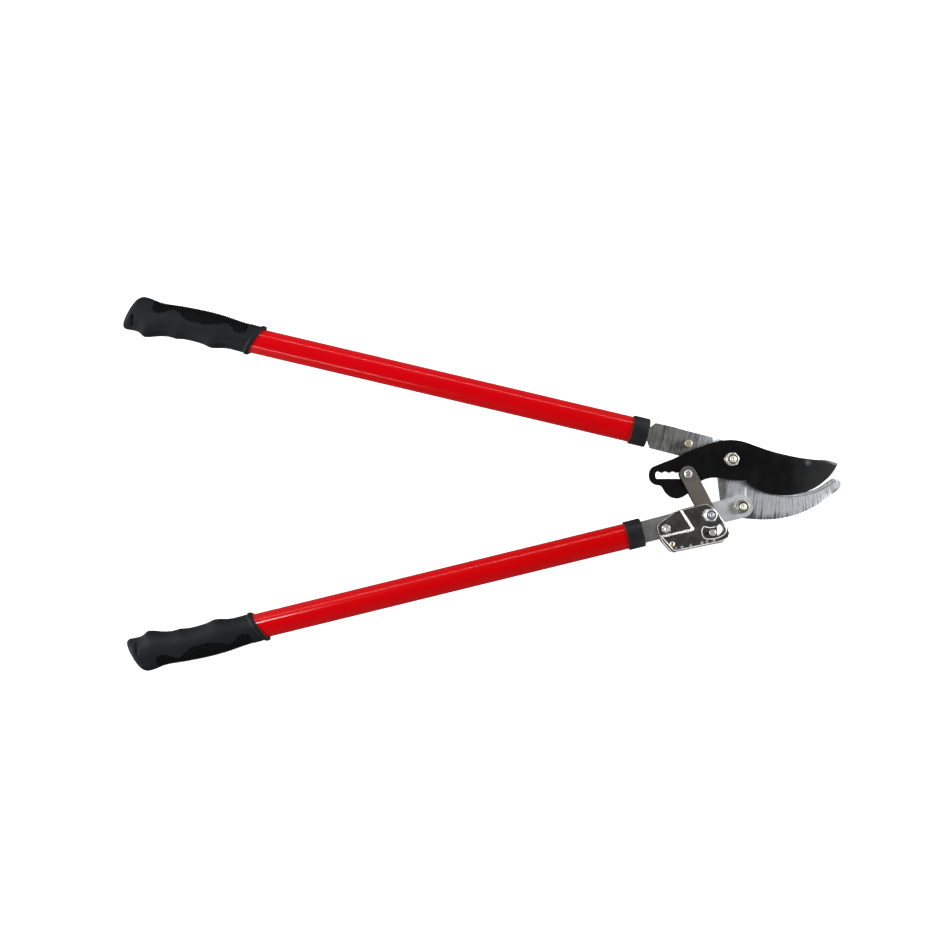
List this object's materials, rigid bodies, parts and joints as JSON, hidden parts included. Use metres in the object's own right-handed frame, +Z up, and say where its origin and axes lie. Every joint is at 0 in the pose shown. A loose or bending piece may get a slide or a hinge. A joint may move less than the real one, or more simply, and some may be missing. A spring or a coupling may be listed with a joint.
{
  "type": "ratchet bypass lopper",
  "caption": "Long handled bypass lopper with a ratchet compound linkage, black blade, forged hook, red tube handles and black grips.",
  "frame": {"origin": "on the main pivot axis, at the underside of the main pivot bolt's head, which is the level the tool rests on", "axes": "+X along the tool towards the blade tip, +Y across it towards the upper handle, +Z up out of the plane of the tool"},
  "size_m": [0.753, 0.3925, 0.0349],
  "materials": {
    "hook_steel": "forged steel, coarsely ground, bluish grey",
    "tang_steel": "ground steel, darker and duller near the tube",
    "blade_coating": "satin black non-stick coating",
    "link_steel": "brown-grey heat treated steel",
    "nickel": "dull nickel plated pressed sheet",
    "zinc": "bright zinc plated fastener",
    "yellow_zinc": "yellow zinc plating",
    "spring_steel": "drawn spring wire",
    "handle_paint": "glossy red powder coat on steel tube",
    "grip_rubber": "black moulded rubber, satin, ribbed",
    "collar_plastic": "black moulded plastic",
    "nylon": "blue nylon lock insert"
  },
  "bodies": {
    "frame": {"hook_jaw": "hook_steel", "upper_tube": "handle_paint", "upper_collar": "collar_plastic", "upper_grip": "grip_rubber", "upper_tang_pin": "zinc", "blade_stop_pin": "yellow_zinc", "main_pivot_bolt": "zinc", "main_rear_washer": "zinc", "main_lock_washer": "zinc", "main_pivot_nut": "zinc", "handle_pivot_bolt": "zinc", "handle_pivot_washer": "zinc", "handle_pivot_nut": "zinc"},
    "blade": {"cutting_blade": "blade_coating", "blade_bush": "yellow_zinc"},
    "lower_handle": {"lower_tang": "tang_steel", "lower_tube": "handle_paint", "lower_collar": "collar_plastic", "lower_grip": "grip_rubber", "lower_tang_pin": "zinc", "front_cover": "nickel", "rear_cover": "nickel", "cover_bolt": "zinc", "cover_nut": "zinc", "spring_anchor_rivet": "yellow_zinc", "link_pivot_bolt": "zinc", "link_pivot_nut": "zinc", "nylon_insert": "nylon", "return_spring": "spring_steel"},
    "link": {"front_link_plate": "link_steel", "rear_link_plate": "link_steel", "ratchet_pin": "zinc", "link_tail_pin": "zinc"}
  },
  "joints": [
    {"name": "handle_swing", "type": "hinge", "parent": "frame", "child": "lower_handle", "pos_m": [0.0108, -0.0496, 0.0155], "axis": [0, 0, 1], "range_deg": [-5, 36]},
    {"name": "blade_swing", "type": "hinge", "parent": "frame", "child": "blade", "pos_m": [0, 0, 0.0155], "axis": [0, 0, 1], "range_deg": [-3.7, 26.4]},
    {"name": "link_swing", "type": "hinge", "parent": "lower_handle", "child": "link", "pos_m": [-0.0235, -0.0581, 0.0155], "axis": [0, 0, 1], "range_deg": [-36.7, 5.2], "deforming": ["return_spring"]}
  ],
  "couplings": [
    {"joint": "blade_swing", "follows": "handle_swing", "ratio": 0.7283},
    {"joint": "link_swing", "follows": "handle_swing", "ratio": -1.0146}
  ]
}
